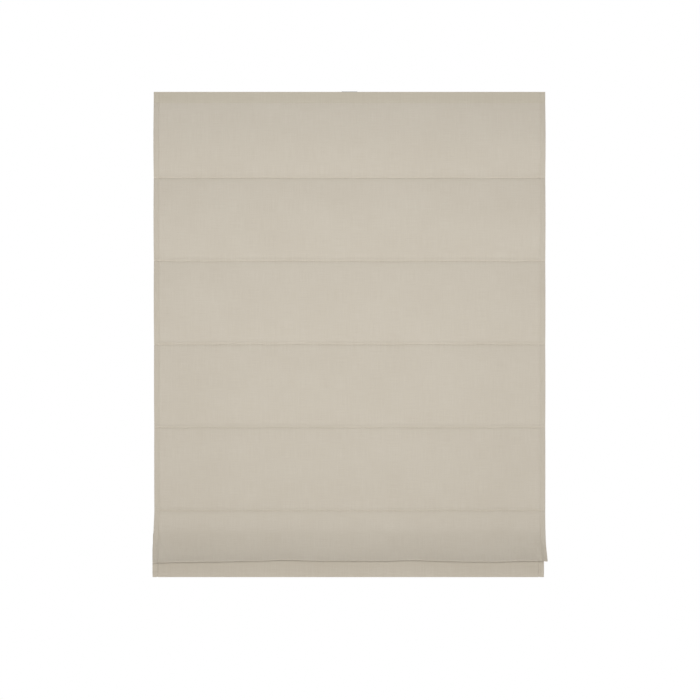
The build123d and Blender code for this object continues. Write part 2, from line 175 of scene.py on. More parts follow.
class Finishes(bpy.types.PropertyGroup):
    linen_light: colour("Linen, light", "Bleached threads of the linen", "#CEC7BA")
    linen_dark: colour("Linen, dark", "Shaded and thicker threads of the linen", "#C1B8A9")
    linen_glow: colour("Linen, lit through", "Colour of the light that passes through the linen", "#E8E8E8")
    # Painted shade: multiplied into the header band's colour, a little darker and warmer, for the light that
    # cannot pass through the doubled header
    header_painted_shade: colour("Header shade", "Shade of the doubled header, which no light passes", "#FAFAF7")
    thread: colour("Thread", "Sewing thread of the seams and hems", "#C3B8A6")
    sleeve: colour("Sleeve tape", "Woven tape of the rod sleeves", "#D8D0C2")
    cord: colour("Cord", "Braided polyester cord", "#E2DDD0")
    enamel: colour("Enamel", "White enamel of the headrail", "#E9E8E3")
    moulding: colour("Moulding", "White nylon mouldings", "#EDECE7")
    clear: colour("Clear moulding", "Milky clear mouldings of the clips", "#E6E8E6")
    zinc: colour("Zinc", "Zinc plate on spring steel", "#B9BCC0")
    aluminium: colour("Aluminium", "Mill finish of the weight bar", "#C9CBCD")
    glass_fibre: colour("Glass fibre", "Drawn glass fibre rod", "#DAD8C8")
    touch_tape: colour("Touch tape", "Nylon hook and loop tape", "#C4B89F")


class StageSizes(bpy.types.PropertyGroup):
    camera_distance: length("Camera distance", "From the camera to the cloth", 3300 * MM)
    frame_width: length("Frame width", "Width of the view at the cloth", 1787.5 * MM)
    view_height: length("View height", "Height of the camera in the blind's frame", -645.7 * MM)
    view_side: length("View side", "How far the camera stands to the right", 1.3 * MM)
    floor_drop: length("Floor drop", "From the top of the blind to the floor", 1710 * MM)
    above: strength("Light above", "Strength of the room light above eye level", 0.33)
    below: strength("Light below", "Strength of the room light below eye level", 1.2)
    floor_glow: strength("Floor glow", "Strength of the light from the floor panel", 0.84)
    key_power: strength("Key power", "Power of the front strip light", 17.0, "POWER")
    soft_power: strength("Soft power", "Power of the low soft light", 7.6, "POWER")
    floor: colour("Floor", "Pale floor of opal acrylic", "#E9E6E0")


# Lengths of the waves of a ripple, as shares of the longest, and about how high they reach together
WAVE_SHARES = (1.0, 0.61, 0.38, 0.23)
WAVE_PEAK = 2.5


def ripple(values, seed, longest):
    """A smooth random wave along one direction, between about -1 and 1."""
    draw = np.random.default_rng(seed)
    total = np.zeros_like(values)
    for share in WAVE_SHARES:
        total += np.sin(2 * pi * (values / (longest * share) + draw.random()))
    return total / WAVE_PEAK


def smooth(values, low, high):
    """A step that rises smoothly from 0 at low to 1 at high."""
    t = np.clip((values - low) / (high - low), 0, 1)
    return t * t * (3 - 2 * t)


# Rises of the last fold's lip above its plain line: share of the blind's width, millimetres
LIP_RISES = (
    (-0.5, -3.5), (-0.44, -0.9), (-0.36, 0.4), (-0.24, 2.4), (-0.165, 5.0), (-0.08, 2.8), (0.08, 2.4),
    (0.165, 4.5), (0.2, 2.8), (0.31, 0.4), (0.38, 0.4), (0.445, 2.7), (0.5, 0.8),
)


def lip_rise(x):
    """Height of the lip's slow waves across the blind."""
    shares = x / (2 * HALF_WIDTH)
    rise = np.full_like(x, LIP_RISES[0][1])
    for (left, low), (right, high) in zip(LIP_RISES, LIP_RISES[1:]):
        rise += (high - low) * smooth(shares, left, right)
    return rise * MM


class ClothLine:
    """The line that the cloth's front face follows, from its top edge to the end of its bottom hem.

    A point of the section is a complex number, depth plus height times i, and so is a heading.
    """

    SAMPLE = 0.2 * MM
    STEEPEST_LEAN = pi / 3
    HALVINGS = 30
    POCKET_CLOSE = radians(40)

    def __init__(self, sizes):
        self.sizes = sizes
        front = CLOTH_BACK - sizes.thickness
        self.pocket_radius = (BAR_HIGH.y - BAR_LOW.y) / 2 + sizes.pocket_gap + sizes.thickness
        self.last_front = (BAR_HIGH.y + BAR_LOW.y) / 2 - self.pocket_radius
        self.points = [complex(front, TOP)]
        self.backs = [1 + 0j]
        self.heading = -1j
        self.run(sizes.header_drop)
        self.header_end = self.here()
        self.seams = []
        height = TOP - sizes.header_drop
        for number, seam in enumerate(SEAM_HEIGHTS):
            self.belly(height - seam, sizes.lowest_belly + sizes.belly_step * (HANGING_RODS - 1 - number))
            self.seams.append(self.here())
            height = seam
        self.fold(self.solved_fold())
        self.crest_end = self.here()
        self.bottom()
        self.points = np.array(self.points)
        self.backs = np.array(self.backs)

    def here(self):
        return (len(self.points) - 1) * self.SAMPLE

    def run(self, distance):
        self.turn(distance, 0)

    def turn(self, distance, angle):
        """Goes on over a distance while the heading turns by an angle, to the left if positive."""
        count = max(1, round(distance / self.SAMPLE))
        for _ in range(count):
            half = np.exp(0.5j * angle / count)
            self.heading *= half
            self.points.append(self.points[-1] + self.heading * distance / count)
            self.heading *= half
            self.backs.append(1j * self.heading)

    def belly(self, chord, depth):
        """An arc over a chord that bows forward by a depth."""
        radius = (chord**2 / 4 + depth**2) / (2 * depth)
        half = np.arcsin(chord / 2 / radius)
        self.heading *= np.exp(-1j * half)
        self.turn(2 * half * radius, 2 * half)
        self.heading *= np.exp(-1j * half)

    def fold_turns(self, run, lean):
        """The distances and angles of the last fold, from the lowest seam to its crest."""
        sizes = self.sizes
        lip = sizes.swing_angle + sizes.flare_angle + pi - lean
        swing = (sizes.swing_radius * sizes.swing_angle, -sizes.swing_angle)
        flare = (sizes.flare_radius * sizes.flare_angle, -sizes.flare_angle)
        back = (sizes.crest_radius * (pi - lean), lean - pi)
        return [swing, flare, (sizes.lip_radius * lip, lip), (run, 0), back]

    def fold_end(self, turns):
        """Where a fold with these turns ends, from the sum of its chords."""
        point = self.points[-1]
        heading = -1j
        for distance, angle in turns:
            point += heading * np.exp(0.5j * angle) * distance * np.sinc(angle / 2 / pi)
            heading *= np.exp(1j * angle)
        return point

    def solved_fold(self):
        """The fold whose return leans so that the last panel hangs over the weight bar."""
        sizes = self.sizes
        upright, steep = 0, self.STEEPEST_LEAN
        for _ in range(self.HALVINGS):
            lean = (upright + steep) / 2
            run = sizes.fold_length - sum(distance for distance, _ in self.fold_turns(0, lean)[:3])
            turns = self.fold_turns(run, lean)
            if self.fold_end(turns).real < self.last_front:
                upright = lean
            else:
                steep = lean
        return turns

    def fold(self, turns):
        for distance, angle in turns[:2]:
            self.turn(distance, angle)
        sizes = self.sizes
        self.lip = self.here() + sizes.lip_radius * (sizes.swing_angle + sizes.flare_angle + pi / 2)
        for distance, angle in turns[2:]:
            self.turn(distance, angle)

    def bottom(self):
        """The last panel, the turn round the weight bar and the hem that is sewn up behind."""
        sizes = self.sizes
        self.run(self.points[-1].imag - BOTTOM - self.pocket_radius)
        self.pocket = self.here()
        self.turn(pi * self.pocket_radius, pi)
        self.run(BAR_HIGH.z - BAR_LOW.z + sizes.pocket_room)
        shift = 2 * self.pocket_radius - 2 * sizes.thickness
        close = self.POCKET_CLOSE
        bend = shift / (2 - 2 * cos(close))
        self.turn(bend * close, close)
        self.turn(bend * close, -close)
        self.run(sizes.stitch_band)
        self.end = self.here()

    def at(self, s):
        """The line's points and the way its back faces, at lengths along it."""
        step = np.clip(s / self.SAMPLE, 0, len(self.points) - 1.001)
        whole = step.astype(int)
        part = step - whole
        point = self.points[whole] * (1 - part) + self.points[whole + 1] * part
        return point, self.backs[whole + 1]


class UnevenCloth:
    """Where the cloth lies, with the puckers, ridges and slack of a sewn blind."""

    # From a side hem's raw edge to its sewn line
    HEM_SEAM = 1.2 * MM
    # Lengths along the cloth over which its forms come and go
    HEADER_FADE = 60 * MM
    TAPER_START = 150 * MM
    TAPER_FADE = 50 * MM
    LIP_FADE = 60 * MM
    LEAN_FADE = 45 * MM
    LAST_FADE = 30 * MM
    POCKET_FADE = 8 * MM
    # How much the gathers, ridges and hem grooves vary, and how deep the grooves are on flat and folded cloth
    GATHER_SHARE = 0.6
    RIDGE_SHARE = 0.3
    GROOVE_SHARE = 0.3
    FLAT_HEM_SHARE = 0.45
    FOLD_HEM_SHARE = 0.9
    # Distance from one layer to the next and thickness of a layer's mesh, as shares of the cloth's thickness
    LAYER_SHARE = 1.05
    SHEET_SHARE = 0.92
    # Where the mesh is fine: how far to each side of these lines
    HEM_REACH = 4 * MM
    SEAM_REACH = 8 * MM
    LIP_REACH = 18 * MM
    CREST_REACH = 9 * MM
    POCKET_REACH = 14 * MM
    END_REACH = 22 * MM
    HEM_COLUMNS = 6
    HEM_TURN_STEPS = 7

    def __init__(self, sizes, uneven):
        self.line = ClothLine(sizes)
        self.sizes = sizes
        self.uneven = uneven

    def hem_line(self):
        return HALF_WIDTH - self.sizes.hem + self.HEM_SEAM

    def relief(self, x, s):
        """How far the cloth lies behind its plain line."""
        uneven = self.uneven
        line = self.line
        depth = np.zeros_like(x)
        for number, seam in enumerate(line.seams, 1):
            seed = uneven.seed + 10 * number
            off = s - seam + uneven.seam_wander * ripple(x, seed, uneven.slack_length)
            gather = uneven.pucker_depth * (1 + self.GATHER_SHARE * ripple(x, seed + 1, uneven.pucker_length))
            depth += gather * np.exp(-((off / uneven.pucker_width) ** 2))
            height_wave = ripple(x, seed + 2, uneven.slack_length / 3)
            ridge = uneven.ridge_height * (1 + self.RIDGE_SHARE * height_wave)
            depth -= ridge * np.exp(-(((off + uneven.ridge_rise) / (2 * uneven.pucker_width)) ** 2))
        side = np.abs(x) - self.hem_line()
        folded = smooth(s, line.seams[-1], line.lip) * (1 - smooth(s, line.lip, line.crest_end))
        last = smooth(s, line.crest_end, line.crest_end + self.LAST_FADE)
        last *= 1 - smooth(s, line.pocket - self.POCKET_FADE, line.pocket)
        uneven_draw = 1 + self.GROOVE_SHARE * ripple(s, uneven.seed + 90, uneven.pucker_length)
        share = self.FLAT_HEM_SHARE + self.FOLD_HEM_SHARE * folded + self.FOLD_HEM_SHARE * last
        groove = np.exp(-((side / uneven.pucker_width) ** 2)) * share * uneven_draw
        valley = np.exp(-((side / uneven.hem_dip_reach) ** 2)) * (side < 0) * folded
        depth += uneven.hem_groove * (groove - last) + uneven.hem_dip * valley
        free = smooth(s, line.header_end, line.header_end + self.HEADER_FADE)
        free *= 1 - smooth(s, line.seams[-1], line.lip)
        waves = ripple(x, uneven.seed + 91, uneven.slack_length)
        waves += ripple(s, uneven.seed + 92, uneven.slack_length)
        depth -= uneven.slack * free * waves / 2
        return depth - uneven.fold_ripple * folded * ripple(x, uneven.seed + 93, uneven.ripple_length)

    def place(self, x, s, offset):
        """Points of the cloth at a distance behind its front face."""
        line = self.line
        point, back = line.at(s)
        point = point + back * (offset + self.relief(x, s))
        uneven = self.uneven
        past_lip = smooth(s, line.lip, line.crest_end)
        rise = lip_rise(x) * smooth(s, line.seams[-1], line.lip) * (1 - past_lip)
        shift = uneven.lip_lean * smooth(s, line.lip - self.LIP_FADE, line.lip) * (1 - past_lip)
        shift -= uneven.crest_lean * past_lip
        settled = smooth(s, line.crest_end, line.crest_end + self.LEAN_FADE)
        shift -= (uneven.bottom_lean - uneven.crest_lean) * settled
        lowest = line.seams[-1]
        drawn = smooth(s, self.TAPER_START, lowest) * (1 - smooth(s, lowest, lowest + self.TAPER_FADE))
        shift += uneven.taper * drawn * np.clip(-x / HALF_WIDTH, 0, 1)
        return np.stack([x + shift, point.real, point.imag + rise], axis=-1), back

    def columns(self):
        """Places across the cloth: each hem from its raw edge round to the front, and the front."""
        sizes = self.sizes
        t = sizes.thickness
        layer = self.LAYER_SHARE * t
        edge = HALF_WIDTH - t / 2 - layer / 2
        turn = np.linspace(0, pi, self.HEM_TURN_STEPS)[1:-1]
        hem_x = np.linspace(HALF_WIDTH - sizes.hem, edge, self.HEM_COLUMNS)
        front_x = [edge]
        while front_x[-1] > 0:
            near_hem = abs(front_x[-1] - self.hem_line()) < self.HEM_REACH
            front_x.append(front_x[-1] - (sizes.fine if near_hem else sizes.coarse))
        half = np.array(front_x[:-1])
        x = np.concatenate([hem_x, edge + layer / 2 * np.sin(turn), half])
        off = np.concatenate([
            np.full(len(hem_x), t / 2 + layer),
            t / 2 + layer / 2 + layer / 2 * np.cos(turn),
            np.full(len(half), t / 2),
        ])
        return np.concatenate([-x, x[::-1]]), np.concatenate([off, off[::-1]])

    def rows(self, start, end):
        """Lengths along the cloth, closer together at seams, lip, crest and pocket."""
        line = self.line
        sizes = self.sizes
        close = [(seam, self.SEAM_REACH) for seam in [line.header_end] + line.seams]
        close += [(line.lip, self.LIP_REACH), (line.crest_end, self.CREST_REACH)]
        close += [(line.pocket, self.POCKET_REACH), (line.end, self.END_REACH)]
        found = [start]
        while found[-1] < end - sizes.fine:
            near = any(abs(found[-1] - centre) < reach for centre, reach in close)
            to_next = [centre - reach - found[-1] for centre, reach in close if centre - reach > found[-1]]
            step = sizes.fine if near else min([sizes.coarse, *to_next])
            found.append(found[-1] + max(step, sizes.fine))
        return np.array([s for s in found if s < end - sizes.fine / 2] + [end])


def new_object(name, points, faces, material):
    mesh = bpy.data.meshes.new(name)
    mesh.from_pydata([tuple(p) for p in points], [], faces)
    mesh.materials.append(material)
    made = bpy.data.objects.new(name, mesh)
    bpy.context.scene.collection.objects.link(made)
    return made


def grid_faces(rows, columns, first=0, closed=False):
    """Quads of a grid of points, row by row; a closed grid joins its last column to its first."""
    last = columns if closed else columns - 1
    faces = []
    for row in range(rows - 1):
        for column in range(last):
            beside = (column + 1) % columns
            a = first + row * columns
            faces.append((a + column, a + beside, a + columns + beside, a + columns + column))
    return faces


def give_map(mesh, across, along):
    """A UV map in metres, from the place of each point across and along the cloth."""
    layer = mesh.uv_layers.new(name="weave")
    corners = np.empty(len(mesh.loops), dtype=np.int64)
    mesh.loops.foreach_get("vertex_index", corners)
    layer.data.foreach_set("uv", np.stack([across, along], axis=-1)[corners].astype(np.float32).ravel())


def baked(piece, name):
    """The piece with its modifiers turned into a plain mesh, smooth but for its sharp edges."""
    graph = bpy.context.evaluated_depsgraph_get()
    mesh = bpy.data.meshes.new_from_object(piece.evaluated_get(graph))
    material = piece.data.materials[0] if piece.data.materials else None
    old = piece.data
    piece.modifiers.clear()
    piece.data = mesh
    bpy.data.meshes.remove(old)
    mesh.name = name
    if not mesh.materials:
        mesh.materials.append(material)
    mesh.shade_smooth()
    mesh.set_sharp_from_angle(angle=SHARP_ANGLE)
    return piece


def thickened(piece, thickness):
    """Gives a sheet its thickness, half to each side."""
    wall = piece.modifiers.new("thickness", "SOLIDIFY")
    wall.thickness = thickness
    wall.offset = 0
    return baked(piece, piece.name)


def add(tree, kind, inputs=None, **settings):
    """Adds a node with its settings; an input is a value or the socket that feeds it."""
    node = tree.nodes.new(kind)
    for name, value in settings.items():
        setattr(node, name, value)
    for key, value in (inputs or {}).items():
        if isinstance(value, bpy.types.NodeSocket):
            tree.links.new(value, node.inputs[key])
        else:
            node.inputs[key].default_value = value
    return node


def maths(tree, operation, *values):
    """The result of a sum on sockets or numbers."""
    return add(tree, "ShaderNodeMath", dict(enumerate(values)), operation=operation).outputs[0]


def mapped(tree, value, low, high, to_low=0.0, to_high=1.0):
    """A value carried from one range to another, and kept within it."""
    inputs = {"Value": value, "From Min": low, "From Max": high, "To Min": to_low, "To Max": to_high}
    return add(tree, "ShaderNodeMapRange", inputs).outputs[0]


def mixed(tree, factor, first, second, blend="MIX"):
    """Two colours put together by a factor."""
    inputs = {"Factor": factor, 6: first, 7: second}
    return add(tree, "ShaderNodeMix", inputs, data_type="RGBA", blend_type=blend).outputs[2]


def new_material(name):
    material = bpy.data.materials.new(name)
    material.use_nodes = True
    material.node_tree.nodes.clear()
    return material, material.node_tree


def finish_material(tree, shader):
    add(tree, "ShaderNodeOutputMaterial", {"Surface": shader.outputs[0]})


def rgba(values):
    return (*values, 1.0)


# Patterns of the linen: their size across and along the cloth, in millimetres
LINEN_PATTERNS = {
    "warp": (1.4, 45), "weft": (45, 1.4), "slub": (12, 2.2), "mottle": (150, 110), "upright": (4, 240),
}
# How much of the light on the linen passes through it
GLOW_SHARE = 0.2
# Height over which the painted header shade fades in at the header's lower edge
HEADER_BLUR = 0.5 * MM


def linen(finishes, header_drop):
    """Washed linen in plain weave: matt, with thick and thin threads and the odd slub; its header band
    carries a painted shade.

    The threads are about 0.5 mm wide, and are drawn several times coarser so that they show.
    """
    material, tree = new_material("washed_linen")
    flat = add(tree, "ShaderNodeUVMap", uv_map="weave").outputs[0]
    per_mm = 1 / MM
    patterns = {}
    for name, (across, along) in LINEN_PATTERNS.items():
        scale = (per_mm / across, per_mm / along, 1)
        stretched = add(tree, "ShaderNodeMapping", {"Vector": flat, "Scale": scale}).outputs[0]
        inputs = {"Vector": stretched, "Scale": 1.0, "Detail": 2.0}
        noise = add(tree, "ShaderNodeTexNoise", inputs, noise_dimensions="2D")
        patterns[name] = noise.outputs["Fac"]
    threads = maths(tree, "ADD", patterns["warp"], patterns["weft"])
    slubs = mapped(tree, patterns["slub"], 0.62, 0.78, 0.0, -0.22)
    shade = threads
    for name, weight in (("mottle", 0.5), ("upright", 0.25)):
        shade = maths(tree, "MULTIPLY_ADD", patterns[name], weight, shade)
    shade = maths(tree, "ADD", shade, slubs)
    spread = mapped(tree, shade, 0.68, 2.08)
    tint = mixed(tree, spread, rgba(finishes.linen_dark), rgba(finishes.linen_light))
    # Painted shade: where the cloth is doubled at the header, its colour is multiplied by the painted header
    # shade in place of the light that does not pass through it
    height = add(tree, "ShaderNodeSeparateXYZ", {0: flat}).outputs["Y"]
    doubled = mapped(tree, height, -header_drop - HEADER_BLUR, -header_drop)
    tint = mixed(tree, doubled, tint, rgba(finishes.header_painted_shade), "MULTIPLY")
    bump = add(tree, "ShaderNodeBump", {"Height": threads, "Strength": 0.5, "Distance": 0.35 * MM}).outputs[0]
    face = add(
        tree, "ShaderNodeBsdfPrincipled",
        {"Base Color": tint, "Roughness": 0.92, "Specular IOR Level": 0.2, "Sheen Weight": 0.15,
         "Sheen Roughness": 0.5, "Normal": bump},
    )
    through = add(tree, "ShaderNodeBsdfTranslucent", {"Color": rgba(finishes.linen_glow), "Normal": bump})
    cloth = add(tree, "ShaderNodeMixShader", {0: GLOW_SHARE, 1: face.outputs[0], 2: through.outputs[0]})
    finish_material(tree, cloth)
    return material


# How much the gloss of a grained finish varies to each side
GLOSS_SHARE = 0.15


def grained(name, tint, roughness, grain, depth=0.05, mottle=0.06, metallic=0.0, **sockets):
    """A plain finish with a fine grain, whose colour, gloss and surface vary a little.

    The grain's real size along X, Y and Z and its depth are in millimetres.
    """
    material, tree = new_material(name)
    at = add(tree, "ShaderNodeTexCoord").outputs["Object"]
    scale = [1 / (size * MM) for size in grain]
    stretched = add(tree, "ShaderNodeMapping", {"Vector": at, "Scale": scale}).outputs[0]
    noise = add(tree, "ShaderNodeTexNoise", {"Vector": stretched, "Scale": 1.0, "Detail": 3.0}).outputs["Fac"]
    dark = rgba([channel * (1 - mottle) for channel in tint])
    colour_mix = mixed(tree, noise, dark, rgba(tint))
    dull = min(1.0, roughness * (1 + GLOSS_SHARE))
    gloss = mapped(tree, noise, 0.0, 1.0, roughness * (1 - GLOSS_SHARE), dull)
    bump = add(tree, "ShaderNodeBump", {"Height": noise, "Strength": 0.4, "Distance": depth * MM}).outputs[0]
    inputs = {"Base Color": colour_mix, "Roughness": gloss, "Metallic": metallic, "Normal": bump}
    inputs.update({key.replace("_", " "): value for key, value in sockets.items()})
    finish_material(tree, add(tree, "ShaderNodeBsdfPrincipled", inputs))
    return material


def make_finishes(finishes):
    """Every finish but the linen, by the part it is for."""
    return {
        # Spun polyester thread: soft, with the twist just showing
        "thread": grained("polyester_thread", finishes.thread, 0.8, (0.6, 0.6, 0.6), mottle=0.15),
        # Woven cotton tape: matt, with fine ribs along its length
        "sleeve": grained("woven_cotton_tape", finishes.sleeve, 0.9, (9, 1.2, 0.8), 0.15, 0.14),
        # Braided polyester: a slight lustre, with the braid's ribs across the cord
        "cord": grained("braided_polyester", finishes.cord, 0.6, (0.9, 0.9, 1.6), 0.12, 0.16),
        # Baked white enamel on aluminium: satin, with a faint orange peel
        "enamel": grained("baked_white_enamel", finishes.enamel, 0.32, (2.5, 2.5, 2.5), 0.02, 0.03),
        # Moulded nylon: white, waxy and slightly uneven in gloss
        "moulding": grained("moulded_nylon", finishes.moulding, 0.42, (1.5, 1.5, 1.5), 0.02, 0.05),
        # Moulded polycarbonate: milky and glossy
        "clear": grained("milky_polycarbonate", finishes.clear, 0.2, (1, 1, 1), 0.01, 0.05),
        # Zinc-plated spring steel: rolled grain along the strip, dull sheen
        "zinc": grained("zinc_plated_steel", finishes.zinc, 0.38, (14, 0.8, 0.8), 0.02, 0.2, 1.0),
        # Mill-finish aluminium: drawn lines along the bar
        "aluminium": grained("mill_aluminium", finishes.aluminium, 0.35, (40, 0.6, 0.6), 0.02, 0.16, 1.0),
        # Drawn glass fibre: pale, with fibres along the rod
        "glass_fibre": grained("drawn_glass_fibre", finishes.glass_fibre, 0.4, (30, 0.4, 0.4), 0.02, 0.1),
        # Nylon touch tape: a rough felted pile
        "touch_tape": grained("nylon_touch_tape", finishes.touch_tape, 0.95, (0.9, 0.9, 0.9), 0.5, 0.25),
    }


def finish_named(part):
    """One of the finishes, made with all the others when it is first asked for."""
    names = bpy.context.scene.get("blind_finishes")
    if names is None:
        made = make_finishes(bpy.context.scene.blind_finish)
        header_drop = bpy.context.scene.blind_cloth.header_drop
        made["linen"] = linen(bpy.context.scene.blind_finish, header_drop)
        bpy.context.scene["blind_finishes"] = {key: material.name for key, material in made.items()}
        names = bpy.context.scene["blind_finishes"]
    return bpy.data.materials[names[part]]


def cloth_stretches(cloth):
    """Each stretch of the cloth: name, start and end along it, the body above and the body below."""
    line = cloth.line
    cuts = [line.header_end] + line.seams
    stretches = [("header", 0, line.header_end, "headrail", "headrail")]
    for number in range(HANGING_RODS):
        bodies = BODY_CHAIN[number:number + 2]
        stretches.append((f"panel_{number + 1}", cuts[number], cuts[number + 1], *bodies))
    stretches.append(("fold", line.seams[-1], line.crest_end, *BODY_CHAIN[-2:]))
    return stretches + [("bottom", line.crest_end, line.end, "bottom", "bottom")]


def carry(piece, name, above, below):
    """The piece follows its body where the body above and the body below are the same; a piece between two
    bodies only has its place baked into its points.
    """
    if above == below:
        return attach(piece, above)
    number = ROD_BODIES.index(below)
    end = RODS[number].z
    start = RODS[number - 1].z if number else TOP
    if name != "fold":
        start = (start + end) / 2
    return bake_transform(piece)


def make_cloth_stretch(cloth, name, start, end):
    x, offset = cloth.columns()
    s = cloth.rows(start, end)
    grid_x, grid_s = np.meshgrid(x, s)
    points, _ = cloth.place(grid_x, grid_s, np.broadcast_to(offset, grid_x.shape))
    faces = grid_faces(len(s), len(x))
    piece = new_object(f"cloth_{name}", points.reshape(-1, 3), faces, finish_named("linen"))
    hem_fold = np.where(offset > cloth.sizes.thickness, np.sign(x) * 2 * (HALF_WIDTH - np.abs(x)), 0)
    give_map(piece.data, (grid_x + hem_fold).ravel(), -grid_s.ravel())
    return thickened(piece, cloth.SHEET_SHARE * cloth.sizes.thickness)


# Smallest and largest stitch, as shares of the stitch that the sizes give
STITCH_SHARES = (0.88, 1.06)
PATH_STEP = 2 * MM


def stitch_tree():
    """Geometry nodes that lay a thread stitch at each step along a line."""
    tree = bpy.data.node_groups.new("stitch_line", "GeometryNodeTree")
    ports = tree.interface
    ports.new_socket("Lines", in_out="INPUT", socket_type="NodeSocketGeometry")
    for name in ("Pitch", "Stitch Length", "Thread Thickness"):
        ports.new_socket(name, in_out="INPUT", socket_type="NodeSocketFloat")
    ports.new_socket("Seed", in_out="INPUT", socket_type="NodeSocketInt")
    ports.new_socket("Thread", in_out="INPUT", socket_type="NodeSocketMaterial")
    ports.new_socket("Stitches", in_out="OUTPUT", socket_type="NodeSocketGeometry")
    given = add(tree, "NodeGroupInput").outputs
    curve = add(tree, "GeometryNodeMeshToCurve", {"Mesh": given["Lines"]}).outputs[0]
    steps = add(tree, "GeometryNodeCurveToPoints", {"Curve": curve, "Length": given["Pitch"]}, mode="LENGTH")
    facing = add(
        tree, "GeometryNodeInputNamedAttribute", {"Name": "facing"}, data_type="FLOAT_VECTOR"
    ).outputs["Attribute"]
    turn = add(
        tree, "FunctionNodeAxesToRotation",
        {"Primary Axis": facing, "Secondary Axis": steps.outputs["Tangent"]},
        primary_axis="Z", secondary_axis="X",
    ).outputs[0]
    shape = add(
        tree, "ShaderNodeCombineXYZ",
        {0: given["Stitch Length"], 1: given["Thread Thickness"], 2: given["Thread Thickness"]},
    ).outputs[0]
    bead = add(tree, "GeometryNodeMeshUVSphere", {"Radius": 0.5, "Segments": 6, "Rings": 4}).outputs["Mesh"]
    stitch = add(tree, "GeometryNodeTransform", {"Geometry": bead, "Scale": shape}).outputs[0]
    least, most = STITCH_SHARES
    differ = add(
        tree, "FunctionNodeRandomValue", {2: least, 3: most, "Seed": given["Seed"]}, data_type="FLOAT"
    ).outputs[1]
    laid = add(
        tree, "GeometryNodeInstanceOnPoints",
        {"Points": steps.outputs["Points"], "Instance": stitch, "Rotation": turn, "Scale": differ},
    ).outputs[0]
    real = add(tree, "GeometryNodeRealizeInstances", {"Geometry": laid}).outputs[0]
    threaded = add(tree, "GeometryNodeSetMaterial", {"Geometry": real, "Material": given["Thread"]})
    add(tree, "NodeGroupOutput", {"Stitches": threaded.outputs[0]})
    return tree


def make_stitches(name, paths, sizes):
    """Stitches along sewn lines; a path is points and the way the cloth faces at each."""
    mesh = bpy.data.meshes.new(name)
    points = np.concatenate([path for path, _ in paths])
    facing = np.concatenate([way for _, way in paths])
    edges = []
    first = 0
    for path, _ in paths:
        edges += [(first + step, first + step + 1) for step in range(len(path) - 1)]
        first += len(path)
    mesh.from_pydata([tuple(p) for p in points], edges, [])
    ways = mesh.attributes.new("facing", "FLOAT_VECTOR", "POINT")
    ways.data.foreach_set("vector", facing.astype(np.float32).ravel())
    piece = bpy.data.objects.new(name, mesh)
    bpy.context.scene.collection.objects.link(piece)
    tree = bpy.data.node_groups.get("stitch_line") or stitch_tree()
    nodes = piece.modifiers.new("stitches", "NODES")
    nodes.node_group = tree
    values = {
        "Pitch": sizes.pitch, "Stitch Length": sizes.span, "Thread Thickness": sizes.thread,
        "Seed": sizes.seed, "Thread": finish_named("thread"),
    }
    for port in tree.interface.items_tree:
        if port.name in values:
            nodes[port.identifier] = values[port.name]
    return baked(piece, name)


def sewn_path(cloth, x, s):
    """Points of a sewn line on the cloth, and the way its face looks there."""
    points, back = cloth.place(x, s, np.zeros_like(x))
    facing = np.stack([np.zeros_like(x), -back.real, -back.imag], axis=-1)
    return points, facing


def stretch_paths(cloth, name, start, end):
    """The sewn lines of one stretch: its two side hems, and the seam at its lower edge."""
    along = np.arange(start + PATH_STEP / 2, end - PATH_STEP / 2, PATH_STEP)
    paths = [sewn_path(cloth, np.full_like(along, side * cloth.hem_line()), along) for side in (-1, 1)]
    across = np.arange(-HALF_WIDTH + PATH_STEP, HALF_WIDTH - PATH_STEP, PATH_STEP)
    if name == "bottom":
        level = np.full_like(across, cloth.line.end - cloth.sizes.stitch_band / 2)
        return paths + [sewn_path(cloth, across, level)]
    if name != "fold":
        paths.append(sewn_path(cloth, across, np.full_like(across, end - ClothLine.SAMPLE)))
    return paths


# Rod sleeves: play round the rod, room from there to the cloth, and the tape's path round the rod
ROD_PLAY = 0.1 * MM
CLOTH_ROOM = 0.8 * MM
WRAP_ANGLE = radians(112)
WRAP_POINTS = 19
# Half the height between a sleeve's sewn edges, and the edges of the last sleeve, which is pinched
HALF_BASE = 4.1 * MM
LAST_HALF_BASE = 1.2 * MM
LAST_FLANGE = 0.2 * MM
# Spacing of a sleeve's mesh, and the depth and length of its soft waves
SLEEVE_STEP = 6 * MM
SLEEVE_PULL = 0.12 * MM
PULL_LENGTH = 30 * MM


def sleeve_section(half_base, flange, tape):
    """A sleeve's tape from its upper sewn edge, round the back of the rod, to its lower one.

    A point is (distance behind the rod's middle, distance above it), with the cloth in front.
    """
    radius = ROD_RADIUS + ROD_PLAY + tape / 2
    seat = -(ROD_RADIUS + ROD_PLAY + CLOTH_ROOM) + tape / 2
    turn = np.linspace(WRAP_ANGLE, -WRAP_ANGLE, WRAP_POINTS)
    upper = [(seat, half_base + flange), (seat, half_base + flange / 2), (seat, half_base)]
    lower = [(depth, -height) for depth, height in reversed(upper)]
    return np.array(upper + [(radius * cos(a), radius * sin(a)) for a in turn] + lower)


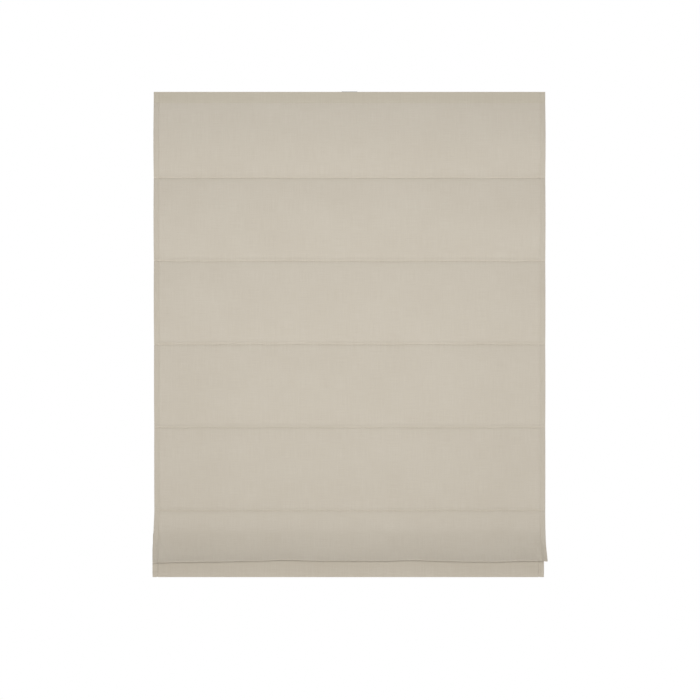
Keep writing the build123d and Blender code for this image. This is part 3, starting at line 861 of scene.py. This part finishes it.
def make_sleeve(number, sizes):
    """The sewn pocket of one rod, in lengths between the clips, and the size of its flat tape."""
    rod = RODS[number - 1]
    last = number == LAST_ROD
    low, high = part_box(f"rod_sleeve_{number}")
    half_base, flange = (LAST_HALF_BASE, LAST_FLANGE) if last else (HALF_BASE, sizes.flange)
    section = sleeve_section(half_base, flange, sizes.tape)
    turn = sizes.last_turn if last else 0
    depth = section[:, 0] * cos(turn) - section[:, 1] * sin(turn)
    height = section[:, 0] * sin(turn) + section[:, 1] * cos(turn)
    edges = [low.x]
    for x in CORD_X:
        edges += [x - sizes.notch / 2, x + sizes.notch / 2]
    edges += [high.x]
    points, faces = [], []
    for left, right in zip(edges[::2], edges[1::2]):
        x = np.linspace(left, right, max(2, round((right - left) / SLEEVE_STEP)))
        first = len(points)
        draw = SLEEVE_PULL * ripple(x, number, PULL_LENGTH)
        for place, pull in zip(x, draw):
            points += [(place, rod.y + d + pull * (d > 0), rod.z + h) for d, h in zip(depth, height)]
        faces += grid_faces(len(x), len(depth), first)
    piece = new_object(f"sleeve_{number}", points, faces, finish_named("sleeve"))
    tape_width = np.hypot(*np.diff(section, axis=0).T).sum()
    tape_length = high.x - low.x - len(CORD_X) * sizes.notch
    return thickened(piece, sizes.tape), (tape_length, tape_width)


# Lift cords: rings along a length, sides of a ring, and the stop's place and outline
CORD_STEPS = 40
CORD_SIDES = 10
STOP_DROP = 1.25 * MM
STOP_SHOULDER_SHARE = 0.3
STOP_TIP_SHARE = 0.32


def make_cords(number, sizes):
    """The three lift cords between one rod and what is above it, with their stops below the last."""
    below = RODS[number - 1].z
    above = RODS[number - 2].z if number > 1 else 0.0
    heights = list(np.linspace(above, below, CORD_STEPS))
    radii = [sizes.cord / 2] * len(heights)
    if number == LAST_ROD:
        under = below - STOP_DROP
        shoulder = under - STOP_SHOULDER_SHARE * sizes.stop_length
        heights += [under, under, shoulder, under - sizes.stop_length]
        radii += [sizes.cord / 2, sizes.stop / 2, sizes.stop / 2, STOP_TIP_SHARE * sizes.stop]
    points, faces = [], []
    ring = np.linspace(0, 2 * pi, CORD_SIDES, endpoint=False)
    for x in CORD_X:
        first = len(points)
        for z, radius in zip(heights, radii):
            points += [(x + radius * cos(a), CORD_Y + radius * sin(a), z) for a in ring]
        faces += grid_faces(len(heights), CORD_SIDES, first, closed=True)
        faces.append(tuple(first + i for i in range(CORD_SIDES)))
        faces.append(tuple(len(points) - 1 - i for i in range(CORD_SIDES)))
    piece = new_object(f"cords_{number}", points, faces, finish_named("cord"))
    piece.data.shade_smooth()
    return piece


# Stage, in metres: the floor's reach to the sides and the front, and to the back
FLOOR_HALF = 2.0
FLOOR_BACK = 0.45
# The floor's own colour is dim, because it gives off light
FLOOR_TINT_SHARE = 0.2
# Lights: name, size that holds the power, width, height, place, and the height of the cloth that it aims at
LIGHTS = (
    ("front_strip", "key_power", 1.4, 0.15, (0, -2.2, -0.62), -0.62),
    ("low_softbox", "soft_power", 0.9, 0.9, (0, -2.0, -0.95), -0.6),
)
HORIZON_BLUR = 0.01
SENSOR_WIDTH = 36.0
WHITE = (1, 1, 1, 1)


class BLIND_OT_stage(bpy.types.Operator):
    """Add the floor, the white room light, the two front lights and the camera"""

    bl_idname = "blind.stage"
    bl_label = "Stage"

    def execute(self, context):
        scene = context.scene
        sizes = scene.blind_stage
        scene.view_settings.view_transform = "Standard"
        front = CLOTH_BACK - scene.blind_cloth.thickness
        floor_z = TOP - sizes.floor_drop
        near, far = -FLOOR_HALF, FLOOR_BACK
        outline = ((-FLOOR_HALF, near), (FLOOR_HALF, near), (FLOOR_HALF, far), (-FLOOR_HALF, far))
        corners = [(x, y, floor_z) for x, y in outline]
        # Opal acrylic, lit from below: pale and even, with a faint grain
        dim = [FLOOR_TINT_SHARE * channel for channel in sizes.floor]
        opal = grained(
            "opal_acrylic", dim, 0.9, (30, 30, 30), 0.1, 0.04,
            Emission_Color=rgba(sizes.floor), Emission_Strength=sizes.floor_glow,
        )
        new_object("floor", corners, [(0, 1, 2, 3)], opal)

        world = bpy.data.worlds.new("white_room")
        scene.world = world
        world.use_nodes = True
        tree = world.node_tree
        tree.nodes.clear()
        way = add(tree, "ShaderNodeTexCoord").outputs["Generated"]
        rise = add(tree, "ShaderNodeSeparateXYZ", {0: way}).outputs["Z"]
        glow = mapped(tree, rise, -HORIZON_BLUR, HORIZON_BLUR, sizes.below, sizes.above)
        lit = add(tree, "ShaderNodeBackground", {"Color": WHITE, "Strength": glow})
        seen = add(tree, "ShaderNodeBackground", {"Color": WHITE, "Strength": 1.0})
        path = add(tree, "ShaderNodeLightPath")
        shaders = {0: path.outputs["Is Camera Ray"], 1: lit.outputs[0], 2: seen.outputs[0]}
        room = add(tree, "ShaderNodeMixShader", shaders)
        add(tree, "ShaderNodeOutputWorld", {"Surface": room.outputs[0]})

        for name, power, width, height, place, aim in LIGHTS:
            light = bpy.data.lights.new(name, "AREA")
            light.shape = "RECTANGLE"
            light.size = width
            light.size_y = height
            light.energy = getattr(sizes, power)
            lamp = bpy.data.objects.new(name, light)
            scene.collection.objects.link(lamp)
            lamp.location = place
            ray = Vector((0, front, aim)) - lamp.location
            lamp.rotation_euler = ray.to_track_quat("-Z", "Y").to_euler()
            lamp.visible_camera = False

        view = bpy.data.cameras.new("camera")
        view.sensor_width = SENSOR_WIDTH
        view.lens = view.sensor_width * sizes.camera_distance / sizes.frame_width
        camera = bpy.data.objects.new("camera", view)
        scene.collection.objects.link(camera)
        camera.location = (sizes.view_side, front - sizes.camera_distance, sizes.view_height)
        camera.rotation_euler = (pi / 2, 0, 0)
        scene.camera = camera
        return {"FINISHED"}


class BLIND_OT_cloth(bpy.types.Operator):
    """Make the linen cloth, from its header to its bottom hem, with its sewn lines"""

    bl_idname = "blind.cloth"
    bl_label = "Cloth and stitching"

    def execute(self, context):
        scene = context.scene
        sizes = scene.blind_cloth
        cloth = UnevenCloth(sizes, scene.blind_uneven)
        for name, start, end, above, below in cloth_stretches(cloth):
            piece = make_cloth_stretch(cloth, name, start, end)
            paths = stretch_paths(cloth, name, start, end)
            stitches = make_stitches(f"stitches_{name}", paths, scene.blind_stitch)
            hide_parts("blind_cloth")
            carry(piece, name, above, below)
            carry(stitches, name, above, below)
        return {"FINISHED"}


class BLIND_OT_sleeves(bpy.types.Operator):
    """Make the sewn sleeves that hold the rods"""

    bl_idname = "blind.sleeves"
    bl_label = "Rod sleeves"

    def execute(self, context):
        sizes = context.scene.blind_fitting
        for number, body in enumerate(ROD_BODIES, 1):
            piece, flat = make_sleeve(number, sizes)
            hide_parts(f"rod_sleeve_{number}")
            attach(piece, body)
        return {"FINISHED"}


class BLIND_OT_cords(bpy.types.Operator):
    """Make the braided lift cords, in lengths from rod to rod"""

    bl_idname = "blind.cords"
    bl_label = "Lift cords"

    def execute(self, context):
        for number, body in enumerate(ROD_BODIES, 1):
            piece = make_cords(number, context.scene.blind_fitting)
            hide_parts(*CORD_NODES)
            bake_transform(piece)
        return {"FINISHED"}


class BLIND_OT_fittings(bpy.types.Operator):
    """Give the headrail, brackets, rods, clips and lift works their finishes"""

    bl_idname = "blind.fittings"
    bl_label = "Fittings"

    by_slot = {
        "rail_enamel": "enamel", "white_moulding": "moulding", "clear_moulding": "clear", "steel": "zinc",
        "bar_aluminium": "aluminium", "glass_fibre": "glass_fibre", "touch_tape": "touch_tape",
    }

    def execute(self, context):
        for row in frame["record"]["subparts"]:
            part = self.by_slot.get(row["material_slot"])
            node = frame["nodes"][row["node"]]
            if part:
                node.data.materials.clear()
                node.data.materials.append(finish_named(part))
        return {"FINISHED"}


OPERATORS = (BLIND_OT_stage, BLIND_OT_cloth, BLIND_OT_sleeves, BLIND_OT_cords, BLIND_OT_fittings)
SETTINGS = {
    "blind_cloth": ClothSizes,
    "blind_uneven": UnevenSizes,
    "blind_stitch": StitchSizes,
    "blind_fitting": FittingSizes,
    "blind_finish": Finishes,
    "blind_stage": StageSizes,
}


class BLIND_PT_sidebar(bpy.types.Panel):
    """Lists the pieces of the blind and their sizes"""

    bl_idname = "BLIND_PT_sidebar"
    bl_label = "Roman blind"
    bl_space_type = "VIEW_3D"
    bl_region_type = "UI"
    bl_category = "Blind"

    def draw(self, context):
        for operator in OPERATORS:
            self.layout.operator(operator.bl_idname)
        for name in SETTINGS:
            group = getattr(context.scene, name)
            box = self.layout.box()
            for key in group.__annotations__:
                box.prop(group, key)


def register():
    for cls in (*SETTINGS.values(), *OPERATORS, BLIND_PT_sidebar):
        bpy.utils.register_class(cls)
    for name, cls in SETTINGS.items():
        setattr(bpy.types.Scene, name, PointerProperty(type=cls))


def unregister():
    for name in SETTINGS:
        delattr(bpy.types.Scene, name)
    for cls in (BLIND_PT_sidebar, *reversed(OPERATORS), *SETTINGS.values()):
        bpy.utils.unregister_class(cls)


def main():
    register()
    bpy.ops.blind.stage()
    bpy.ops.blind.cloth()
    bpy.ops.blind.sleeves()
    bpy.ops.blind.cords()
    bpy.ops.blind.fittings()


if __name__ == "__main__":
    main()
